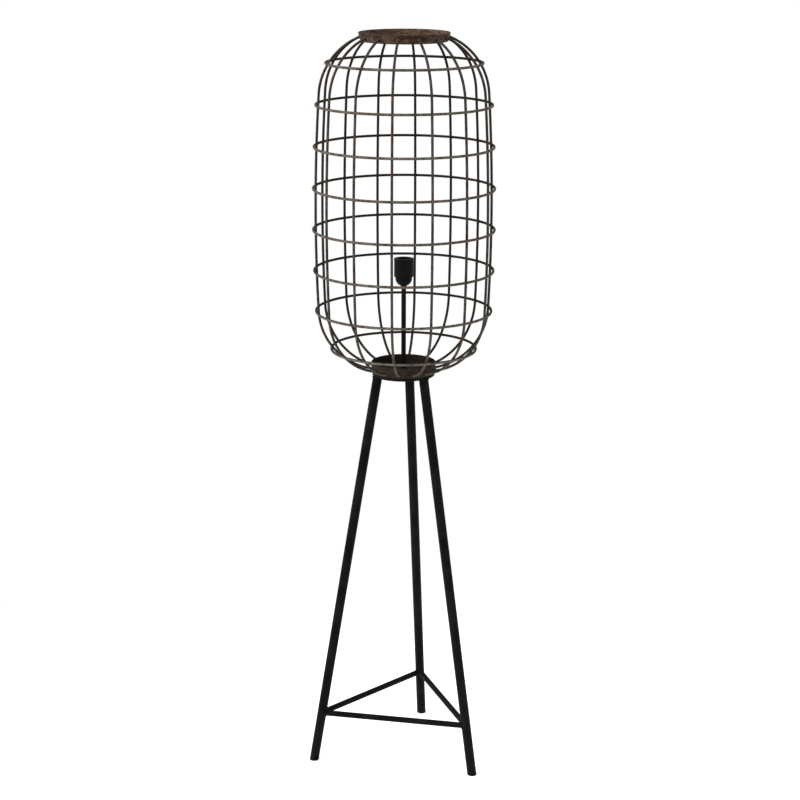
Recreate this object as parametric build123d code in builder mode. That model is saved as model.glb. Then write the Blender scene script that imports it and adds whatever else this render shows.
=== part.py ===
"""Wire cage floor lamp: an open cage of bent wires on a three-legged stand, round an E27 lampholder.

Millimetres, +Z up. The origin is on the floor under the lamp's axis, and the back leg stands towards +Y.
"""

import os
from math import acos, asin, atan2, ceil, cos, degrees, radians, sin, tan

from build123d import *

# ---- driving dimensions ----

# cage wires
wire_d = 5.5  # across the flats: ribs and rings are bent from the same wire
wire_sides = 6
seat_gap = 0.1  # left under a weld
rib_count = 14
cage_turn = 4.8  # degrees from the back leg round to the nearest rib
belly_r = 183.6  # axis of a rib at its widest
side_bulge_r = 4000.0  # the ribs' sides are very slightly bowed
side_up = 257.0  # from the widest point to the shoulder bend
side_down = 196.0  # from the widest point to the foot bend
shoulder_r = 133.0
foot_bend_r = 133.5
facet_turn = 11.0  # degrees between two flats along a bend, at most
side_flats = 3

# rings, outside the ribs
ring_count = 8
ring_first = 89.0  # along a rib, from its upper end
ring_pitch = 86.0
bay_flats = 3  # from one rib to the next, on all that runs round the cage

# open collar that the ribs end on
collar_height = 18.0
collar_rise = 8.5  # from the collar's lower edge up to a rib's axis
collar_top_r = 94.5
collar_bottom_r = 89.5
collar_wall = 2.0

# cup that the ribs start from
cup_height = 22.5
cup_r = 68.0
cup_wall = 2.0
cup_bevel = 2.0
cup_rise = 8.0  # from the underside of the cup up to a rib's axis

# stand
plate_z = 857.5  # underside of the head plate
plate_thickness = 6.0
plate_r = 66.0
leg_names = ("back", "left", "right")
leg_d = 20.0
leg_wall = 1.5
leg_top_r = 57.0  # from the lamp's axis to a leg's axis, under the head plate
leg_foot_r = 203.5  # the same at the floor
stretcher_ends = {"left": ("back", "left"), "front": ("left", "right"), "right": ("right", "back")}
stretcher_d = 12.5
stretcher_z = 108.5

# foot caps, each with a hollow plug up inside its leg
foot_cap_floor = 3.5
foot_cap_bevel = 1.0
foot_cap_sides = 16
plug_length = 14.0
plug_wall = 1.2
fit_gap = 0.1  # round a piece that is pushed into another

# stem and the nuts that clamp it
stem_d = 10.0
stem_bore_d = 7.0
stem_tail = 2.0  # below the lower nut
nut_across = 15.0
nut_thickness = 5.0
washer_d = 22.0
washer_thickness = 1.5
washer_sides = 24
hole_sides = 12  # of the holes round the stem

# way for the cord: a window in the stem, a hole over the left leg and an outlet beside its foot
cord_hole_d = 9.0
window_rise = 4.0  # above the upper nut
window_height = 14.0
outlet_z = 8.0
bush_bore_d = 5.6
bush_wall = 0.8
bush_length = 5.2
bush_reach = 11.6  # from the leg's axis to the bush's outer face
bush_sides = 12
bush_flange_d = 10.0

# lampholder
stem_reach = 182.5  # from the floor of the cup up to the holder
holder_sides = 32
neck_r = 6.5
neck_height = 1.0
shelf_width = 2.2  # left flat between the neck and the dome
dome_bevel = 4.0
holder_cap_r = 17.7
holder_cap_height = 20.5
stem_grip = 8.0  # length of the stem inside the holder
wire_room_r = 12.5
core_r = 15.0
core_height = 17.0
core_seat = 6.0  # depth of the core's seat in the cap
skirt_r = 20.6
skirt_height = 39.0
socket_r = 13.3  # E27 thread
socket_length = 22.0

# contacts, on top of the core
strip_width = 5.0
strip_thickness = 0.6
terminal_reach = 11.0  # from the axis to a terminal screw
terminal_d = 3.0
terminal_head_d = 4.6
terminal_head = 1.6
terminal_sides = 12
base_length = 6.0
tongue_length = 10.5
tongue_rise = 14.0  # degrees
tongue_gap = 0.3
side_contact_rise = 4.5

# ---- worked out from them ----

wire_r = wire_d / 2
bay = 360 / rib_count
leg_angles = {name: 90 + 360 / len(leg_names) * index for index, name in enumerate(leg_names)}
leg_r = leg_d / 2
stem_r = stem_d / 2
stretcher_r = stretcher_d / 2
cup_z = plate_z + plate_thickness
cup_floor_z = cup_z + cup_wall
nut_rise = washer_thickness + nut_thickness
window_z = cup_floor_z + nut_rise + window_rise
plug_r = leg_r - leg_wall - fit_gap
bush_r = bush_bore_d / 2 + bush_wall
holder_z = cup_floor_z + stem_reach
holder_cap_top = holder_z + holder_cap_height
core_z = holder_cap_top - core_seat
core_top = core_z + core_height
skirt_top = holder_cap_top + skirt_height
socket_z = skirt_top - socket_length

os.makedirs("parts", exist_ok=True)


def save(piece, name):
    piece.label = name
    export_step(piece, f"parts/{name}.step")


def polar(radius, angle, z=0.0):
    return Vector(radius * cos(radians(angle)), radius * sin(radians(angle)), z)


def leg_axis(angle, z):
    """Point on a leg's axis at a height."""
    return polar(leg_foot_r + (leg_top_r - leg_foot_r) * z / plate_z, angle, z)


def across_leg(angle, z):
    """Plane square to a leg at a height, with its normal up along the leg."""
    along = leg_axis(angle, plate_z) - leg_axis(angle, 0)
    return Plane(origin=leg_axis(angle, z), x_dir=polar(1, angle + 90), z_dir=along)


# ---- cage ----

# Smooth line of a rib's axis. It starts on the cup, bends up into the side and ends on the collar.
lean_up = degrees(asin(side_up / side_bulge_r))
lean_down = degrees(asin(side_down / side_bulge_r))
flare = atan2(collar_top_r - collar_bottom_r, collar_height)
collar_seat_r = collar_bottom_r + collar_rise * tan(flare)
bulge_x = belly_r - side_bulge_r
shoulder_x = bulge_x + (side_bulge_r - shoulder_r) * cos(radians(lean_up))
foot_x = bulge_x + (side_bulge_r - foot_bend_r) * cos(radians(lean_down))
foot_z = cup_z + cup_rise + foot_bend_r * sin(acos((cup_r - foot_x) / foot_bend_r))
belly_z = foot_z + (side_bulge_r - foot_bend_r) * sin(radians(lean_down))
shoulder_z = belly_z + (side_bulge_r - shoulder_r) * sin(radians(lean_up))
collar_z = shoulder_z + shoulder_r * sin(acos((collar_seat_r - shoulder_x) / shoulder_r)) - collar_rise

# Both ends run on a little way, to be cut where they are seated.
rib_top = degrees(acos((collar_bottom_r - shoulder_x) / shoulder_r))
rib_foot = degrees(acos((cup_r - wire_r - foot_x) / foot_bend_r))
shoulder_flats = ceil((rib_top - lean_up) / facet_turn)
foot_flats = ceil((rib_foot - lean_down) / facet_turn)

with BuildLine(Plane.XZ) as rib_curve:
    shoulder = CenterArc((shoulder_x, shoulder_z), shoulder_r, rib_top, lean_up - rib_top)
    side = CenterArc((bulge_x, belly_z), side_bulge_r, lean_up, -lean_up - lean_down)
    foot = CenterArc((foot_x, foot_z), foot_bend_r, -lean_down, lean_down - rib_foot)

# The same line in flats, which the wire follows.
rib_corners = [shoulder @ (i / shoulder_flats) for i in range(shoulder_flats)]
rib_corners += [side @ (i / side_flats) for i in range(side_flats)]
rib_corners += [foot @ (i / foot_flats) for i in range(foot_flats + 1)]
with BuildLine() as rib_flats:
    Polyline(*rib_corners)
rib_line = rib_flats.wires()[0]

# A rib's upper end is cut along the collar's flare, and its lower end along the cup's wall.
collar_seat = Plane(
    origin=(collar_bottom_r, 0, collar_z),
    x_dir=(0, 1, 0),
    z_dir=(cos(flare), 0, -sin(flare)),
)
cup_seat = Plane(origin=(cup_r, 0, cup_z), x_dir=(0, 1, 0), z_dir=(1, 0, 0))

with BuildPart() as rib:
    with BuildSketch(Plane(origin=rib_line @ 0, x_dir=(0, 1, 0), z_dir=rib_line % 0)):
        RegularPolygon(wire_r, wire_sides, major_radius=False)
    sweep(path=rib_line, transition=Transition.RIGHT)
    split(bisect_by=collar_seat.offset(seat_gap), keep=Keep.TOP)
    split(bisect_by=cup_seat.offset(seat_gap), keep=Keep.TOP)

for index in range(rib_count):
    save(rib.part.rotate(Axis.Z, 90 + cage_turn + bay * index), f"rib_{index + 1:02d}")


def ring_path(radius, z):
    """Closed path round the cage, with the middle of a flat on each rib."""
    turn = bay / bay_flats
    corner_r = radius / cos(radians(turn / 2))
    first = polar(radius, 0, z)
    corners = [polar(corner_r, turn * (i + 0.5), z) for i in range(rib_count * bay_flats)]
    return Polyline(first, *corners, first)


for index in range(ring_count):
    along = (ring_first + ring_pitch * index) / rib_line.length
    down = rib_line % along
    out = Vector(-down.Z, 0, down.X)
    start = rib_line @ along + out * (wire_d + seat_gap)
    with BuildPart() as ring:
        with BuildLine() as ring_line:
            ring_path(start.X, start.Z)
        with BuildSketch(Plane(origin=start, x_dir=-down, z_dir=(0, 1, 0))):
            RegularPolygon(wire_r, wire_sides, major_radius=False)
        sweep(path=ring_line.wires()[0], transition=Transition.RIGHT)
    save(ring.part.rotate(Axis.Z, 90 + cage_turn), f"ring_{index + 1}")


def round_cage(radius):
    """Outline round the lamp's axis, with the middle of a flat on each rib."""
    sides = rib_count * bay_flats
    RegularPolygon(radius, sides, major_radius=False, rotation=90 + cage_turn + 180 / sides)


with BuildPart() as top_collar:
    with BuildSketch(Plane.XY.offset(collar_z)):
        round_cage(collar_bottom_r)
    extrude(amount=collar_height, taper=-degrees(flare))
    with BuildSketch(Plane.XY.offset(collar_z)):
        round_cage(collar_bottom_r - collar_wall)
    extrude(amount=collar_height, taper=-degrees(flare), mode=Mode.SUBTRACT)
save(top_collar.part, "top_collar")


def stem_hole(mode=Mode.SUBTRACT):
    RegularPolygon(stem_r + fit_gap, hole_sides, major_radius=False, mode=mode)


cord_hole = polar(leg_top_r, leg_angles["left"])

with BuildPart() as bottom_cup:
    with BuildSketch(Plane.XY.offset(cup_z)):
        round_cage(cup_r)
    extrude(amount=cup_height)
    chamfer(bottom_cup.faces().sort_by(Axis.Z)[0].edges(), length=cup_bevel)
    with BuildSketch(Plane.XY.offset(cup_floor_z)):
        round_cage(cup_r - cup_wall)
    extrude(amount=cup_height, mode=Mode.SUBTRACT)
    with BuildSketch(Plane.XY.offset(cup_z)):
        stem_hole(Mode.ADD)
        with Locations((cord_hole.X, cord_hole.Y)):
            Circle(cord_hole_d / 2)
    extrude(amount=cup_wall, mode=Mode.SUBTRACT)
save(bottom_cup.part, "bottom_cup")

# ---- stand ----

with BuildPart() as head_plate:
    with BuildSketch(Plane.XY.offset(plate_z)):
        round_cage(plate_r)
        stem_hole()
        with Locations((cord_hole.X, cord_hole.Y)):
            Circle(cord_hole_d / 2, mode=Mode.SUBTRACT)
    extrude(amount=plate_thickness)
save(head_plate.part, "head_plate")

# Plane through the left leg's axis that the cord leaves along, towards the front.
outlet_angle = leg_angles["left"]
outlet = Plane(
    origin=leg_axis(outlet_angle, outlet_z),
    x_dir=(0, 0, 1),
    z_dir=polar(1, outlet_angle + 90),
)

for name, angle in leg_angles.items():
    with BuildPart() as leg:
        with BuildSketch(across_leg(angle, -leg_d)):
            Circle(leg_r)
            Circle(leg_r - leg_wall, mode=Mode.SUBTRACT)
        extrude(amount=plate_z + 4 * leg_d)
        split(bisect_by=Plane.XY.offset(plate_z), keep=Keep.BOTTOM)
        split(bisect_by=Plane.XY.offset(foot_cap_floor), keep=Keep.TOP)
        if angle == outlet_angle:
            with BuildSketch(outlet):
                RegularPolygon(bush_r + fit_gap, bush_sides)
            extrude(amount=leg_d, mode=Mode.SUBTRACT)
    save(leg.part, f"leg_{name}")

for name, ends in stretcher_ends.items():
    start_angle, end_angle = [leg_angles[end] for end in ends]
    start = leg_axis(start_angle, stretcher_z)
    end = leg_axis(end_angle, stretcher_z)
    with BuildPart() as stretcher:
        with BuildSketch(Plane(origin=start, x_dir=(0, 0, 1), z_dir=end - start)):
            Circle(stretcher_r)
        extrude(amount=(end - start).length)
        # Each end is mitred against the other stretcher on that leg, and coped to the tube.
        for angle, other in ((start_angle, end), (end_angle, start)):
            aside = polar(1, angle + 90)
            aside *= 1 if aside.dot(other - leg_axis(angle, stretcher_z)) > 0 else -1
            split(bisect_by=Plane(origin=(0, 0, 0), z_dir=aside).offset(seat_gap / 2), keep=Keep.TOP)
            with BuildSketch(across_leg(angle, stretcher_z - leg_d)):
                Circle(leg_r + seat_gap)
            extrude(amount=2 * leg_d, mode=Mode.SUBTRACT)
    save(stretcher.part, f"stretcher_{name}")

with BuildPart() as foot_caps:
    for angle in leg_angles.values():
        with BuildSketch(across_leg(angle, -leg_d)):
            RegularPolygon(leg_r, foot_cap_sides)
        extrude(amount=4 * leg_d)
    split(bisect_by=Plane.XY, keep=Keep.TOP)
    split(bisect_by=Plane.XY.offset(foot_cap_floor), keep=Keep.BOTTOM)
    chamfer(foot_caps.faces().group_by(Axis.Z)[0].edges(), length=foot_cap_bevel)
    for angle in leg_angles.values():
        with BuildSketch(across_leg(angle, foot_cap_floor / 2)):
            RegularPolygon(plug_r, foot_cap_sides)
        extrude(amount=plug_length)
        with BuildSketch(across_leg(angle, foot_cap_floor)):
            RegularPolygon(plug_r - plug_wall, foot_cap_sides)
        extrude(amount=plug_length, mode=Mode.SUBTRACT)
    with BuildSketch(outlet):
        RegularPolygon(bush_r + fit_gap, bush_sides)
    extrude(amount=leg_d, mode=Mode.SUBTRACT)
save(foot_caps.part, "foot_caps")

# The bush is pushed through the leg and its plug, and its flange is hollowed to sit on the leg.
with BuildPart() as cord_bush:
    with BuildSketch(outlet):
        RegularPolygon(bush_flange_d / 2, bush_sides)
    extrude(amount=bush_reach)
    with BuildSketch(across_leg(outlet_angle, -leg_d)):
        RegularPolygon(leg_r + fit_gap, foot_cap_sides, major_radius=False)
    extrude(amount=4 * leg_d, mode=Mode.SUBTRACT)
    with BuildSketch(outlet.offset(bush_reach - bush_length)):
        RegularPolygon(bush_r, bush_sides)
    extrude(amount=bush_length)
    with BuildSketch(outlet):
        Circle(bush_bore_d / 2)
    extrude(amount=2 * bush_reach, mode=Mode.SUBTRACT)
save(cord_bush.part, "cord_bush")

# ---- stem ----

stem_z = plate_z - nut_rise - stem_tail
with BuildPart() as stem:
    with BuildSketch(Plane.XY.offset(stem_z)):
        Circle(stem_r)
        Circle(stem_bore_d / 2, mode=Mode.SUBTRACT)
    extrude(amount=holder_z + stem_grip - stem_z)
    # window towards the left leg
    with BuildSketch(Plane(origin=(0, 0, window_z + window_height / 2), z_dir=cord_hole)):
        Rectangle(stem_bore_d, window_height)
    extrude(amount=stem_d, mode=Mode.SUBTRACT)
save(stem.part, "stem")

for name, washer_z, nut_z in (
    ("lower", plate_z - washer_thickness, plate_z - nut_rise),
    ("upper", cup_floor_z, cup_floor_z + washer_thickness),
):
    with BuildPart() as washer:
        with BuildSketch(Plane.XY.offset(washer_z)):
            RegularPolygon(washer_d / 2, washer_sides, major_radius=False)
            stem_hole()
        extrude(amount=washer_thickness)
    save(washer.part, f"{name}_washer")
    with BuildPart() as nut:
        with BuildSketch(Plane.XY.offset(nut_z)):
            RegularPolygon(nut_across / 2, 6, major_radius=False)
            stem_hole()
        extrude(amount=nut_thickness)
    save(nut.part, f"{name}_nut")

# ---- lampholder ----


def holder_outline(radius, mode=Mode.ADD):
    RegularPolygon(radius, holder_sides, major_radius=False, mode=mode)


with BuildPart() as holder_cap:
    with BuildSketch(Plane.XY.offset(holder_z)):
        holder_outline(neck_r)
    extrude(amount=neck_height)
    # dome, as bevels between the neck and the cap's wall
    with BuildSketch(Plane.XY.offset(holder_z + neck_height)):
        holder_outline(holder_cap_r)
    extrude(amount=holder_cap_height - neck_height)
    shelf = holder_cap.faces().filter_by(Axis.Z).sort_by(SortBy.AREA)[-2]
    chamfer(shelf.outer_wire().edges(), length=holder_cap_r - neck_r - shelf_width)
    dome_top = holder_cap.edges().filter_by(Axis.Z, reverse=True).group_by(Axis.Z)[-2]
    chamfer(dome_top, length=dome_bevel)
    with BuildSketch(Plane.XY.offset(holder_z)):
        Circle(stem_r + fit_gap)
    extrude(amount=holder_cap_height, mode=Mode.SUBTRACT)
    with BuildSketch(Plane.XY.offset(holder_z + stem_grip)):
        holder_outline(wire_room_r)
    extrude(amount=holder_cap_height, mode=Mode.SUBTRACT)
    with BuildSketch(Plane.XY.offset(core_z)):
        holder_outline(core_r + fit_gap)
    extrude(amount=holder_cap_height, mode=Mode.SUBTRACT)
save(holder_cap.part, "holder_cap")

with BuildPart() as holder_skirt:
    with BuildSketch(Plane.XY.offset(holder_cap_top)):
        holder_outline(skirt_r)
        holder_outline(core_r + fit_gap, mode=Mode.SUBTRACT)
    extrude(amount=socket_z - holder_cap_top)
    with BuildSketch(Plane.XY.offset(socket_z)):
        holder_outline(skirt_r)
        Circle(socket_r, mode=Mode.SUBTRACT)
    extrude(amount=socket_length)
save(holder_skirt.part, "holder_skirt")

with BuildPart() as holder_core:
    with BuildSketch(Plane.XY.offset(core_z)):
        holder_outline(core_r)
    extrude(amount=core_height)
    with BuildSketch(Plane.XY.offset(core_z)):
        with Locations((-terminal_reach, 0), (terminal_reach, 0)):
            RegularPolygon(terminal_d / 2 + fit_gap, terminal_sides)
    extrude(amount=core_height, mode=Mode.SUBTRACT)
save(holder_core.part, "holder_core")

strip_top = core_top + strip_thickness
with BuildPart() as terminal_screws:
    with BuildSketch(Plane.XY.offset(core_z)):
        with Locations((-terminal_reach, 0), (terminal_reach, 0)):
            RegularPolygon(terminal_d / 2, terminal_sides)
    extrude(amount=core_height + strip_thickness)
    with BuildSketch(Plane.XY.offset(strip_top)):
        with Locations((-terminal_reach, 0), (terminal_reach, 0)):
            RegularPolygon(terminal_head_d / 2, terminal_sides)
    extrude(amount=terminal_head)
save(terminal_screws.part, "terminal_screws")

# Two strips are screwed to the core. One ends in a sprung tongue under the bulb's tip, on a bend that
# stands as a hinge, and the other in an upright beside its cap.
strip = Plane.XY.offset(core_top)
base_end = -terminal_reach + base_length / 2

with BuildPart() as contact_base:
    with BuildSketch(strip):
        with Locations((-terminal_reach, 0)):
            Rectangle(base_length, strip_width)
            RegularPolygon(terminal_d / 2 + fit_gap, terminal_sides, mode=Mode.SUBTRACT)
    extrude(amount=strip_thickness)
save(contact_base.part, "contact_base")

with BuildPart() as centre_contact:
    with BuildSketch(Plane.XZ.offset(-strip_width / 2)):
        with Locations(Location((base_end + tongue_gap, core_top + tongue_gap), tongue_rise)):
            Rectangle(tongue_length, strip_thickness, align=Align.MIN)
    extrude(amount=strip_width)
save(centre_contact.part, "centre_contact")

with BuildPart() as side_contact:
    with BuildSketch(strip):
        with Locations((terminal_reach, 0)):
            Rectangle(base_length, strip_width)
            RegularPolygon(terminal_d / 2 + fit_gap, terminal_sides, mode=Mode.SUBTRACT)
    extrude(amount=strip_thickness)
    with BuildSketch(strip):
        with Locations((terminal_reach - base_length / 2, 0)):
            Rectangle(strip_thickness, strip_width, align=(Align.MIN, Align.CENTER))
    extrude(amount=side_contact_rise)
save(side_contact.part, "side_contact")
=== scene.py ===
from math import acos, asin, cos, pi, radians, sin, sqrt, tan

import bmesh
import bpy
from mathutils import Matrix, Vector, noise


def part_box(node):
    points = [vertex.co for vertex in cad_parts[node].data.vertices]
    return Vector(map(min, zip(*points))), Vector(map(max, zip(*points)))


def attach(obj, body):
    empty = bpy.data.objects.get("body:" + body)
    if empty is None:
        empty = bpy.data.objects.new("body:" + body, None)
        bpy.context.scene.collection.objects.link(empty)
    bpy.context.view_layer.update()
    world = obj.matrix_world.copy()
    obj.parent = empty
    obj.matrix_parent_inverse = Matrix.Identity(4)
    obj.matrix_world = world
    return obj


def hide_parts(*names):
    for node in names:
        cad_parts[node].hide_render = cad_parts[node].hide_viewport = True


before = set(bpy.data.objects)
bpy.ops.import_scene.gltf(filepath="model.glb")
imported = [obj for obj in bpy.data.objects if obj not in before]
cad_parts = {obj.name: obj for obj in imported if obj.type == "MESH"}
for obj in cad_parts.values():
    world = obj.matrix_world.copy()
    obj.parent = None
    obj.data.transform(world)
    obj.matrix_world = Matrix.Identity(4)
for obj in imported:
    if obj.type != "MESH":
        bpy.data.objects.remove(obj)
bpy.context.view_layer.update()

scene = bpy.context.scene
scene.view_settings.view_transform = "Standard"
print("frame loaded:", len(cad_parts), "nodes")

camera = {
    "lens": 91.12,  # mm, as the sensor's width
    "sensor": 36.0,
    "distance": 4.1702,  # m from the lamp's axis, level
    "height": 1.8912,
    "side": 12.37,  # degrees round from the lamp's front
    "aside": 0.1,  # degrees that the view looks past the axis
    "pitch": 14.65,  # degrees down
    "roll": 0.13,
    "clipEnd": 60.0,
}


def newObject(name, data):
    obj = bpy.data.objects.new(name, data)
    scene.collection.objects.link(obj)
    return obj


def placeCamera():
    data = bpy.data.cameras.new("camera")
    data.lens = camera["lens"]
    data.sensor_width = camera["sensor"]
    data.clip_end = camera["clipEnd"]
    side = radians(camera["side"])
    spot = Vector((sin(side), -cos(side), 0.0)) * camera["distance"]
    spot.z = camera["height"]
    turn = Matrix.Rotation(radians(camera["side"] + camera["aside"]), 4, "Z")
    tilt = Matrix.Rotation(radians(90.0 - camera["pitch"]), 4, "X")
    roll = Matrix.Rotation(radians(camera["roll"]), 4, "Z")
    scene.camera = newObject("camera", data)
    scene.camera.matrix_world = Matrix.Translation(spot) @ turn @ tilt @ roll


placeCamera()
print("camera placed")

studio = {
    "floor": (0.93, 0.93, 0.93),
    "floorRough": 0.9,
    "floorGlow": 0.5,
    "floorReach": 14.0,  # m
    "shadowReach": (0.5, 1.4),  # m from the lamp, over which the floor turns plain white
    "worldLight": (1.0, 1.0, 1.0),
    "worldStrength": 0.55,
    "aimHeight": 0.9,
    "lights": {  # place, power in watts, size in metres
        "keyLight": ((-3.4, -2.3, 3.5), 235.0, 2.2),
        "fillLight": ((3.4, -2.2, 2.4), 55.0, 3.0),
        "rimLight": ((1.2, 3.2, 3.2), 12.0, 2.0),
    },
}


def addNode(tree, kind, sockets=None, **settings):
    # sockets: for each input a value or another node's output; gives the new node's outputs
    node = tree.nodes.new("ShaderNode" + kind)
    for name, value in settings.items():
        setattr(node, name, value)
    for name, value in (sockets or {}).items():
        if isinstance(value, bpy.types.NodeSocket):
            tree.links.new(value, node.inputs[name])
        else:
            node.inputs[name].default_value = value
    return node.outputs


def newMaterial(name):
    mat = bpy.data.materials.new(name)
    mat.use_nodes = True
    mat.node_tree.nodes.clear()
    return mat, mat.node_tree


def floorMaterial():
    # seen by the camera, the floor is lit up to white, and keeps the shadow round the feet
    mat, tree = newMaterial("paleFloor")
    paint = {"Base Color": (*studio["floor"], 1.0), "Roughness": studio["floorRough"]}
    shade = addNode(tree, "BsdfPrincipled", {**paint, "Specular IOR Level": 0.0})[0]
    glow = addNode(tree, "Emission", {"Strength": studio["floorGlow"]})[0]
    both = addNode(tree, "AddShader", {0: shade, 1: glow})[0]
    white = addNode(tree, "Emission")[0]
    spot = addNode(tree, "TexCoord")["Object"]
    reach = addNode(tree, "VectorMath", {0: spot}, operation="LENGTH")["Value"]
    near, far = studio["shadowReach"]
    span = {"Value": reach, "From Min": near, "From Max": far}
    share = addNode(tree, "MapRange", span, interpolation_type="SMOOTHSTEP")["Result"]
    fade = addNode(tree, "MixShader", {0: share, 1: both, 2: white})[0]
    path = addNode(tree, "LightPath")
    rays = {0: path["Is Camera Ray"], 1: path["Is Glossy Ray"]}
    seen = addNode(tree, "Math", rays, operation="MAXIMUM")[0]
    pick = addNode(tree, "MixShader", {0: seen, 1: shade, 2: fade})[0]
    addNode(tree, "OutputMaterial", {"Surface": pick})
    return mat


def studioWorld():
    # soft light from all sides, and plain white where the camera sees past the floor
    world = bpy.data.worlds.new("studio")
    world.use_nodes = True
    tree = world.node_tree
    tree.nodes.clear()
    light = (*studio["worldLight"], 1.0)
    soft = addNode(tree, "Background", {"Color": light, "Strength": studio["worldStrength"]})[0]
    white = addNode(tree, "Background", {"Color": (1.0, 1.0, 1.0, 1.0), "Strength": 1.0})[0]
    seen = addNode(tree, "LightPath")["Is Camera Ray"]
    mix = addNode(tree, "MixShader", {0: seen, 1: soft, 2: white})[0]
    addNode(tree, "OutputWorld", {"Surface": mix})
    return world


def softLight(name, place, power, size):
    data = bpy.data.lights.new(name, "AREA")
    data.shape = "DISK"
    data.size = size
    data.energy = power
    aim = Vector((0.0, 0.0, studio["aimHeight"])) - Vector(place)
    turn = aim.to_track_quat("-Z", "Y").to_matrix().to_4x4()
    newObject(name, data).matrix_world = Matrix.Translation(place) @ turn


def makeStudio():
    mesh = bpy.data.meshes.new("floor")
    reach = studio["floorReach"]
    corners = [(-reach, -reach, 0.0), (reach, -reach, 0.0), (reach, reach, 0.0), (-reach, reach, 0.0)]
    mesh.from_pydata(corners, [], [(0, 1, 2, 3)])
    mesh.materials.append(floorMaterial())
    floor = newObject("floor", mesh)
    scene.world = studioWorld()
    for name, (place, power, size) in studio["lights"].items():
        softLight(name, place, power, size)


makeStudio()
print("studio lit")

mm = 0.001
upward = Vector((0.0, 0.0, 1.0))


def polar(radius, angle, z=0.0):
    turn = radians(angle)
    return Vector((radius * cos(turn), radius * sin(turn), z))


def heightSpan(node):
    # heights of a solid's bottom and top, in mm
    low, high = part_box(node)
    return low.z / mm, high.z / mm


def fullTurn(count):
    return [2.0 * pi * i / count for i in range(count)]


def circle(middle, side, up, radius, count):
    return [middle + (side * cos(t) + up * sin(t)) * radius for t in fullTurn(count)]


def roundSection(radius, sides):
    return [(radius * cos(t), radius * sin(t)) for t in fullTurn(sides)]


def standOn(spot, out):
    # carries a form turned round Z to a point in mm, with Z pointing out
    return Matrix.Translation(spot * mm) @ out.to_track_quat("Z", "X").to_matrix().to_4x4()


def roundOff(outline, steps):
    # outline: (r, z, corner radius) round a section, in mm; gives its points with the corners rounded
    points = []
    for index, (r, z, radius) in enumerate(outline):
        here = Vector((r, z))
        back = Vector(outline[index - 1][:2]) - here
        ahead = Vector(outline[(index + 1) % len(outline)][:2]) - here
        if radius <= 0.0:
            points.append((r, z))
            continue
        half = back.angle(ahead) / 2.0
        room = 0.49 * min(back.length, ahead.length)  # neighbouring corners never meet
        reach = min(radius / tan(half), room)
        start = here + back.normalized() * reach
        end = here + ahead.normalized() * reach
        middle = here + (back.normalized() + ahead.normalized()).normalized() * reach / cos(half)
        first, last = start - middle, end - middle
        sweep = first.angle(last)
        for step in range(steps + 1):
            share = step / steps
            arm = first * sin((1.0 - share) * sweep) + last * sin(share * sweep)
            points.append(tuple(middle + arm / sin(sweep)))
    return points


def boxSection(halfWide, halfHigh, edge=0.0, steps=1):
    corners = ((-halfWide, -halfHigh), (halfWide, -halfHigh), (halfWide, halfHigh), (-halfWide, halfHigh))
    return roundOff([(x, y, edge) for x, y in corners], steps)


def meshObject(name, bm):
    bmesh.ops.recalc_face_normals(bm, faces=bm.faces)
    mesh = bpy.data.meshes.new(name)
    bm.to_mesh(mesh)
    bm.free()
    return newObject(name, mesh)


def bridge(bm, one, two):
    # quads, or triangles at a pole, between two rings of a turned or swept form
    count = max(len(one), len(two))
    if count == 1:
        return
    for i in range(count):
        j = (i + 1) % count
        corners = [one[i % len(one)], one[j % len(one)], two[j % len(two)], two[i % len(two)]]
        bm.faces.new(list(dict.fromkeys(corners)))


def turned(name, outline, sides, place=Matrix.Identity(4), thread=None):
    # a closed outline of (r, z) in mm turned round Z; thread gives a radius for (r, z, angle)
    bm = bmesh.new()
    rings = []
    for r, z in outline:
        if r < 1e-6:
            rings.append([bm.verts.new(place @ Vector((0.0, 0.0, z * mm)))])
            continue
        ring = []
        for angle in fullTurn(sides):
            real = thread(r, z, angle) if thread else r
            spot = Vector((real * cos(angle), real * sin(angle), z)) * mm
            ring.append(bm.verts.new(place @ spot))
        rings.append(ring)
    for i, ring in enumerate(rings):
        bridge(bm, ring, rings[(i + 1) % len(rings)])
    return meshObject(name, bm)


def swept(bm, line, section, side=None, closed=False, swell=None):
    # section of (across, up) in mm along points in mm; side is square to the line's plane
    middle = sum(line, Vector()) / len(line)
    rings = []
    for i, here in enumerate(line):
        back = line[i - 1] if closed or i else here
        ahead = line[(i + 1) % len(line)] if closed or i < len(line) - 1 else here
        along = (ahead - back).normalized()
        hint = side if side else here - middle
        across = (hint - along * hint.dot(along)).normalized()
        up = along.cross(across)
        size = swell(i) if swell else 1.0
        rings.append([bm.verts.new((here + (across * u + up * v) * size) * mm) for u, v in section])
    for one, two in zip(rings, rings[1:]):
        bridge(bm, one, two)
    if closed:
        bridge(bm, rings[-1], rings[0])
    else:
        bm.faces.new(rings[0])
        bm.faces.new(rings[-1])


def sweptObject(name, line, section, side=None, closed=False):
    bm = bmesh.new()
    swept(bm, line, section, side, closed)
    return meshObject(name, bm)


def skinned(bm, loops, wrap=False):
    # faces over a row of loops of points in mm; a loop of one point closes an end
    rings = [[bm.verts.new(spot * mm) for spot in loop] for loop in loops]
    for one, two in zip(rings, rings[1:]):
        bridge(bm, one, two)
    if wrap:
        bridge(bm, rings[-1], rings[0])


def skinnedObject(name, loops, wrap=False):
    bm = bmesh.new()
    skinned(bm, loops, wrap)
    return meshObject(name, bm)


def drill(spot, radius, length, along=upward, sides=48):
    # a round cutting tool centred on a point in mm
    half = along * length / 2.0
    side = Vector((1.0, 0.0, 0.0)) if along.z else upward
    return sweptObject("drill", [spot - half, spot + half], roundSection(radius, sides), side)


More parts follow.
